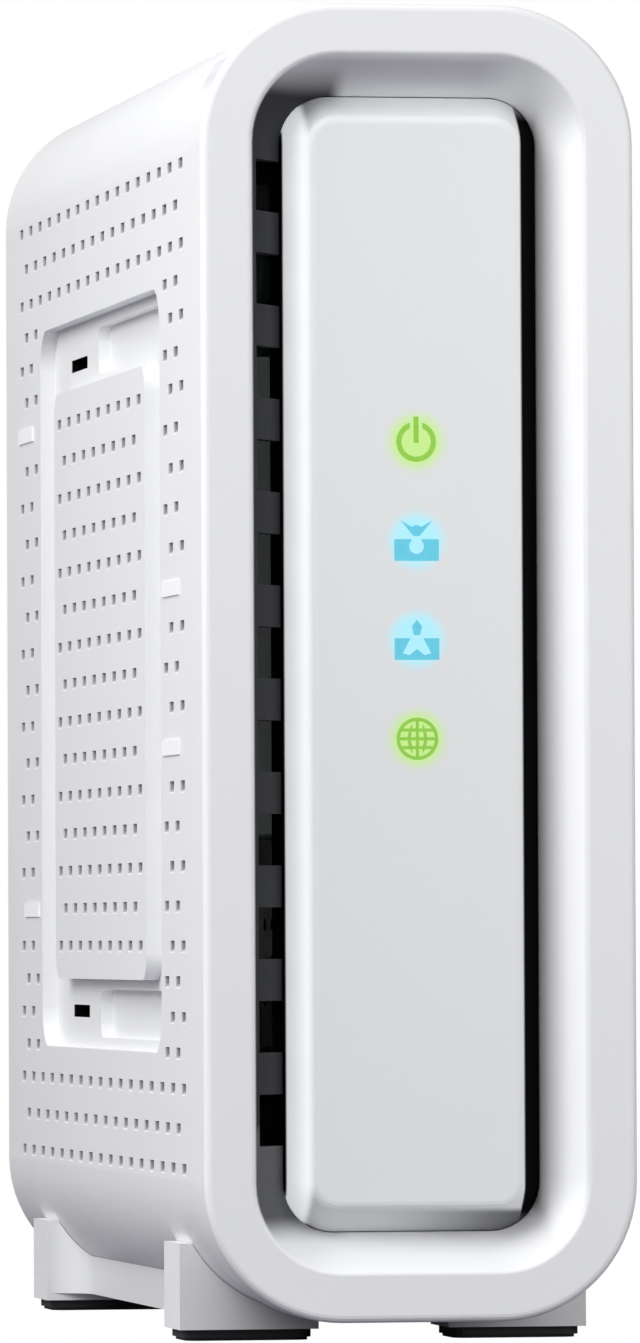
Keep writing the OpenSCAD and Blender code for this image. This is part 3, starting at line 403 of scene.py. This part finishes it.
def threaded_nickel():
    """Nickel plate. Past the nut a bump stands for the barrel's fine thread, which isn't geometry."""
    material, tree, shader = new_material("threaded_nickel")
    shader.inputs["Metallic"].default_value = 1.0
    x, y, z = axes(tree)
    height = node(tree, "ShaderNodeMath", {0: z, 1: COAX_Z}, operation="SUBTRACT").outputs[0]
    turn = node(tree, "ShaderNodeMath", {0: height, 1: x}, operation="ARCTAN2").outputs[0]
    along = product(tree, y, 2 * math.pi / THREAD_PITCH)
    phase = node(tree, "ShaderNodeMath", {0: along, 1: turn}, operation="ADD").outputs[0]
    ridge = node(tree, "ShaderNodeMath", {0: phase}, operation="SINE").outputs[0]
    outside = ramp(tree, y, THREAD_Y, THREAD_Y + 0.3 * MM)
    crest = product(tree, between(tree, ridge, 0.0, 1.0), outside)
    wear = noise(tree, 900.0, 4.0)
    tree.links.new(mixed(tree, wear, (0.66, 0.62, 0.55), (0.50, 0.47, 0.42)),
                   shader.inputs["Base Color"])
    tree.links.new(between(tree, wear, 0.18, 0.34), shader.inputs["Roughness"])
    bumped(tree, shader, crest, 0.9, 0.35 * MM)
    return material


def assign(material, *names):
    for name in names:
        slots = NODES[name].data.materials
        slots.clear()
        slots.append(material)


def dress_nodes():
    assign(shell_white(), "left_shell", "right_shell")
    assign(case_white(), "rear_panel")
    assign(base_white(), "base_stand")
    assign(bezel_white(), "front_bezel")
    assign(panel_white(), "front_panel")
    assign(lit_lens("icon_green_lit", *GREEN, ICON_EMISSION), "icon_power", "icon_online")
    assign(lit_lens("icon_cyan_lit", *CYAN, ICON_EMISSION), "icon_receive", "icon_send")
    assign(plastic("pad_rubber", (0.012, 0.012, 0.013), (0.02, 0.02, 0.02), 0.75, 2600.0, 0.05),
           "foot_pad_front_left", "foot_pad_front_right", "foot_pad_rear_left", "foot_pad_rear_right")
    assign(metal("screw_zinc", (0.62, 0.63, 0.66), (0.48, 0.49, 0.52), 0.32, 1600.0),
           "base_screws", "panel_screws", "rear_screws", "board_screws")
    assign(board_laminate(), "main_board")
    assign(plastic("chip_resin", (0.018, 0.018, 0.02), (0.03, 0.03, 0.032), 0.55, 3800.0),
           "modem_processor", "memory_chip_a", "memory_chip_b", "flash_chip", "regulator_chip",
           "tuner_chip", "ethernet_transformers")
    assign(plastic("thermal_silicone", (0.30, 0.36, 0.42), (0.25, 0.30, 0.36), 0.8, 1800.0, 0.04),
           "thermal_pad")
    assign(metal("sink_aluminium", (0.74, 0.75, 0.76), (0.62, 0.63, 0.64), 0.38, 420.0, (1, 1, 12)),
           "heat_sink")
    assign(plastic("pin_nylon", (0.78, 0.77, 0.72), (0.72, 0.71, 0.66), 0.5), "heat_sink_pins")
    assign(metal("spring_wire", (0.58, 0.59, 0.6), (0.42, 0.43, 0.44), 0.25, 2400.0),
           "heat_sink_springs")
    assign(plastic("ferrite", (0.07, 0.07, 0.075), (0.11, 0.11, 0.115), 0.6, 2200.0, 0.05),
           "power_inductors")
    assign(plastic("capacitor_sleeve", (0.03, 0.045, 0.09), (0.02, 0.03, 0.06), 0.3),
           "electrolytic_capacitors")
    assign(plastic("fired_ceramic", (0.42, 0.29, 0.17), (0.34, 0.23, 0.14), 0.5, 3000.0),
           "ceramic_capacitors")
    assign(metal("shield_tin", (0.72, 0.73, 0.74), (0.58, 0.59, 0.61), 0.3, 700.0),
           "crystal", "tuner_shield_frame", "tuner_shield_lid", "ethernet_a_shield",
           "ethernet_b_shield")
    assign(plastic("led_resin", (0.86, 0.82, 0.60), (0.80, 0.76, 0.52), 0.25), "status_leds")
    assign(clear_guide(), "light_guide")
    assign(plastic("black_plastic", (0.014, 0.014, 0.015), (0.022, 0.022, 0.024), 0.45),
           "light_baffle", "ethernet_a_housing", "ethernet_b_housing", "power_jack_housing",
           "reset_switch_body")
    assign(threaded_nickel(), "coax_body")
    assign(metal("nickel", (0.66, 0.62, 0.55), (0.50, 0.47, 0.42), 0.24, 1400.0),
           "coax_washer", "coax_nut", "power_jack_pin")
    assign(plastic("insulator", (0.82, 0.81, 0.74), (0.76, 0.75, 0.68), 0.5), "coax_insulator")
    assign(metal("gold_flash", (0.88, 0.62, 0.22), (0.74, 0.50, 0.16), 0.22, 1200.0),
           "coax_contact", "ethernet_a_contacts", "ethernet_b_contacts", "power_jack_spring")
    assign(plastic("button_plastic", (0.62, 0.62, 0.64), (0.56, 0.56, 0.58), 0.45), "reset_button")


# ---------------------------------------------------------------- studio

def camera_only(tree, seen, otherwise):
    """One shader for what the camera sees straight away, and another for all other light."""
    path = node(tree, "ShaderNodeLightPath")
    mix = tree.nodes.new("ShaderNodeMixShader")
    tree.links.new(path.outputs["Is Camera Ray"], mix.inputs[0])
    tree.links.new(otherwise, mix.inputs[1])
    tree.links.new(seen, mix.inputs[2])
    return mix.outputs[0]


def make_floor():
    mesh = bpy.data.meshes.new("floor")
    corners = [(x * FLOOR_HALF, y * FLOOR_HALF, 0) for x, y in ((-1, -1), (1, -1), (1, 1), (-1, 1))]
    mesh.from_pydata(corners, [], [(0, 1, 2, 3)])
    floor = bpy.data.objects.new("floor", mesh)
    bpy.context.scene.collection.objects.link(floor)
    material, tree, shader = new_material("pale_floor")
    shader.inputs["Base Color"].default_value = FLOOR_COLOUR
    shader.inputs["Roughness"].default_value = 0.9
    paper = node(tree, "ShaderNodeEmission", {"Color": (1, 1, 1, 1), "Strength": 1.0})
    output = [n for n in tree.nodes if n.type == "OUTPUT_MATERIAL"][0]
    tree.links.new(camera_only(tree, paper.outputs[0], shader.outputs[0]), output.inputs["Surface"])
    mesh.materials.append(material)


def area_light(name, place, target, size, power):
    data = bpy.data.lights.new(name, "AREA")
    data.shape = "DISK"
    data.size = size
    data.energy = power
    lamp = bpy.data.objects.new(name, data)
    lamp.location = place
    lamp.rotation_euler = (Vector(target) - Vector(place)).to_track_quat("-Z", "Y").to_euler()
    lamp.visible_camera = False
    bpy.context.scene.collection.objects.link(lamp)


def light_studio():
    """A white backdrop, and a soft surround that is brightest on the left and in front."""
    world = bpy.data.worlds.new("studio")
    bpy.context.scene.world = world
    world.use_nodes = True
    tree = world.node_tree
    tree.nodes.clear()
    toward = node(tree, "ShaderNodeTexCoord").outputs["Generated"]
    slope = node(tree, "ShaderNodeVectorMath", {0: toward, 1: SURROUND_SLOPE},
                 operation="DOT_PRODUCT").outputs["Value"]
    level = node(tree, "ShaderNodeMath", {0: slope, 1: SURROUND_LEVEL}, operation="ADD").outputs[0]
    level = node(tree, "ShaderNodeMath", {0: level, 1: SURROUND_LEAST}, operation="MAXIMUM").outputs[0]
    surround = node(tree, "ShaderNodeBackground", {"Color": (1, 1, 1, 1), "Strength": level})
    backdrop = node(tree, "ShaderNodeBackground", {"Color": (1, 1, 1, 1), "Strength": 1.0})
    output = tree.nodes.new("ShaderNodeOutputWorld")
    tree.links.new(camera_only(tree, backdrop.outputs[0], surround.outputs[0]),
                   output.inputs["Surface"])
    area_light("key", (-0.28, -0.17, 0.27), (0, -0.02, 0.08), 0.3, 1.15)
    area_light("fill", (0.24, -0.27, 0.14), (0.02, -0.07, 0.08), 0.2, 0.42)
    bpy.context.scene.view_settings.view_transform = "Standard"


make_camera()
dress_nodes()
make_floor()
light_studio()
